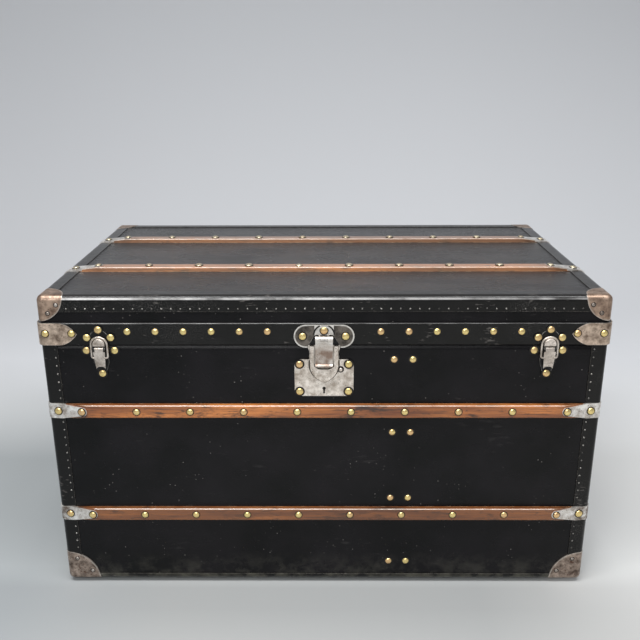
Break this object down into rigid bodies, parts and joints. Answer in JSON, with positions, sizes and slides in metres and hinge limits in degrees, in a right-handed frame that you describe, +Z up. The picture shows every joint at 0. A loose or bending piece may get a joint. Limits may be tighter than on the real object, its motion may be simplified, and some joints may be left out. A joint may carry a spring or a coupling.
{
  "type": "flat top trunk",
  "caption": "Flat-topped wooden travelling trunk covered in black canvas, with wooden slats, steel corners, hasp lock, toggle catches and drop handles.",
  "frame": {"origin": "middle of the footprint, on the floor", "axes": "+X to the right as seen from the front, +Y to the back, +Z up; the front faces -Y"},
  "size_m": [1.049, 0.6299, 0.6032],
  "materials": {
    "carcass_wood": "plain poplar",
    "slat_wood": "varnished, worn",
    "black_canvas": "painted canvas",
    "lining_cloth": "plain cloth",
    "black_trim": "glossy, scuffed",
    "aged_steel": "dull patina",
    "brass": "polished heads"
  },
  "bodies": {
    "base": {"base_front_board": "carcass_wood", "base_back_board": "carcass_wood", "base_left_board": "carcass_wood", "base_right_board": "carcass_wood", "base_floor_board": "carcass_wood", "base_canvas": "black_canvas", "base_lining": "lining_cloth", "base_rim": "carcass_wood", "base_runners": "slat_wood", "base_edge_trims": "black_trim", "base_bottom_trims": "black_trim", "base_corners": "aged_steel", "base_front_slats": "slat_wood", "base_back_slats": "slat_wood", "base_slat_clamps": "aged_steel", "base_slat_nails": "brass", "base_rivets": "brass", "divider_battens": "carcass_wood", "lock_plate": "aged_steel", "lock_case": "aged_steel", "catch_plate_left": "aged_steel", "catch_plate_right": "aged_steel", "catch_pins": "aged_steel", "hinge_base_leaves": "aged_steel", "hinge_pins": "aged_steel", "handle_brackets": "aged_steel"},
    "lid": {"lid_top_board": "carcass_wood", "lid_front_board": "carcass_wood", "lid_back_board": "carcass_wood", "lid_left_board": "carcass_wood", "lid_right_board": "carcass_wood", "lid_canvas": "black_canvas", "lid_lining": "lining_cloth", "lid_band": "black_trim", "lid_band_clamps": "aged_steel", "lid_band_nails": "brass", "lid_edge_trims": "black_trim", "lid_corners": "aged_steel", "lid_slats": "slat_wood", "lid_slat_clamps": "aged_steel", "lid_slat_nails": "brass", "lid_rivets": "brass", "hasp_plate": "aged_steel", "hasp_pin": "aged_steel", "catch_keeper_left": "aged_steel", "catch_keeper_right": "aged_steel", "hinge_lid_leaves": "aged_steel"},
    "hasp": {"lock_hasp": "aged_steel"},
    "bolt": {"lock_bolt": "aged_steel"},
    "button": {"release_button": "aged_steel"},
    "lever_left": {"catch_lever_left": "aged_steel"},
    "lever_right": {"catch_lever_right": "aged_steel"},
    "bail_left": {"catch_bail_left": "aged_steel"},
    "bail_right": {"catch_bail_right": "aged_steel"},
    "handle_left": {"handle_left": "aged_steel"},
    "handle_right": {"handle_right": "aged_steel"},
    "divider": {"divider_board": "carcass_wood"}
  },
  "joints": [
    {"name": "lid_hinge", "type": "hinge", "parent": "base", "child": "lid", "pos_m": [0, 0.3089, 0.5012], "axis": [-1, 0, 0], "range_deg": [0, 100]},
    {"name": "hasp_hinge", "type": "hinge", "parent": "lid", "child": "hasp", "pos_m": [0, -0.312, 0.516], "axis": [-1, 0, 0], "range_deg": [0, 150]},
    {"name": "bolt_throw", "type": "slide", "parent": "base", "child": "bolt", "axis": [-1, 0, 0], "range_m": [0, 0.017]},
    {"name": "button_press", "type": "slide", "parent": "base", "child": "button", "axis": [0, 1, 0], "range_m": [0, 0.0025], "stiffness_N_per_m": 400},
    {"name": "handle_left_swing", "type": "hinge", "parent": "base", "child": "handle_left", "pos_m": [-0.516, 0, 0.308], "axis": [0, 1, 0], "range_deg": [0, 100]},
    {"name": "handle_right_swing", "type": "hinge", "parent": "base", "child": "handle_right", "pos_m": [0.516, 0, 0.308], "axis": [0, -1, 0], "range_deg": [0, 100]},
    {"name": "divider_lift", "type": "slide", "parent": "base", "child": "divider", "axis": [0, 0, 1], "range_m": [0, 0.09]},
    {"name": "lever_left_swing", "type": "hinge", "parent": "base", "child": "lever_left", "pos_m": [-0.398, -0.309, 0.4958], "axis": [-1, 0, 0], "range_deg": [0, 110]},
    {"name": "bail_left_swing", "type": "hinge", "parent": "lever_left", "child": "bail_left", "pos_m": [-0.398, -0.3086, 0.4785], "axis": [-1, 0, 0], "range_deg": [-110, 0]},
    {"name": "lever_right_swing", "type": "hinge", "parent": "base", "child": "lever_right", "pos_m": [0.398, -0.309, 0.4958], "axis": [-1, 0, 0], "range_deg": [0, 110]},
    {"name": "bail_right_swing", "type": "hinge", "parent": "lever_right", "child": "bail_right", "pos_m": [0.398, -0.3086, 0.4785], "axis": [-1, 0, 0], "range_deg": [-110, 0]}
  ],
  "couplings": [
    {"joint": "bail_left_swing", "follows": "lever_left_swing", "ratio": -1},
    {"joint": "bail_right_swing", "follows": "lever_right_swing", "ratio": -1}
  ]
}
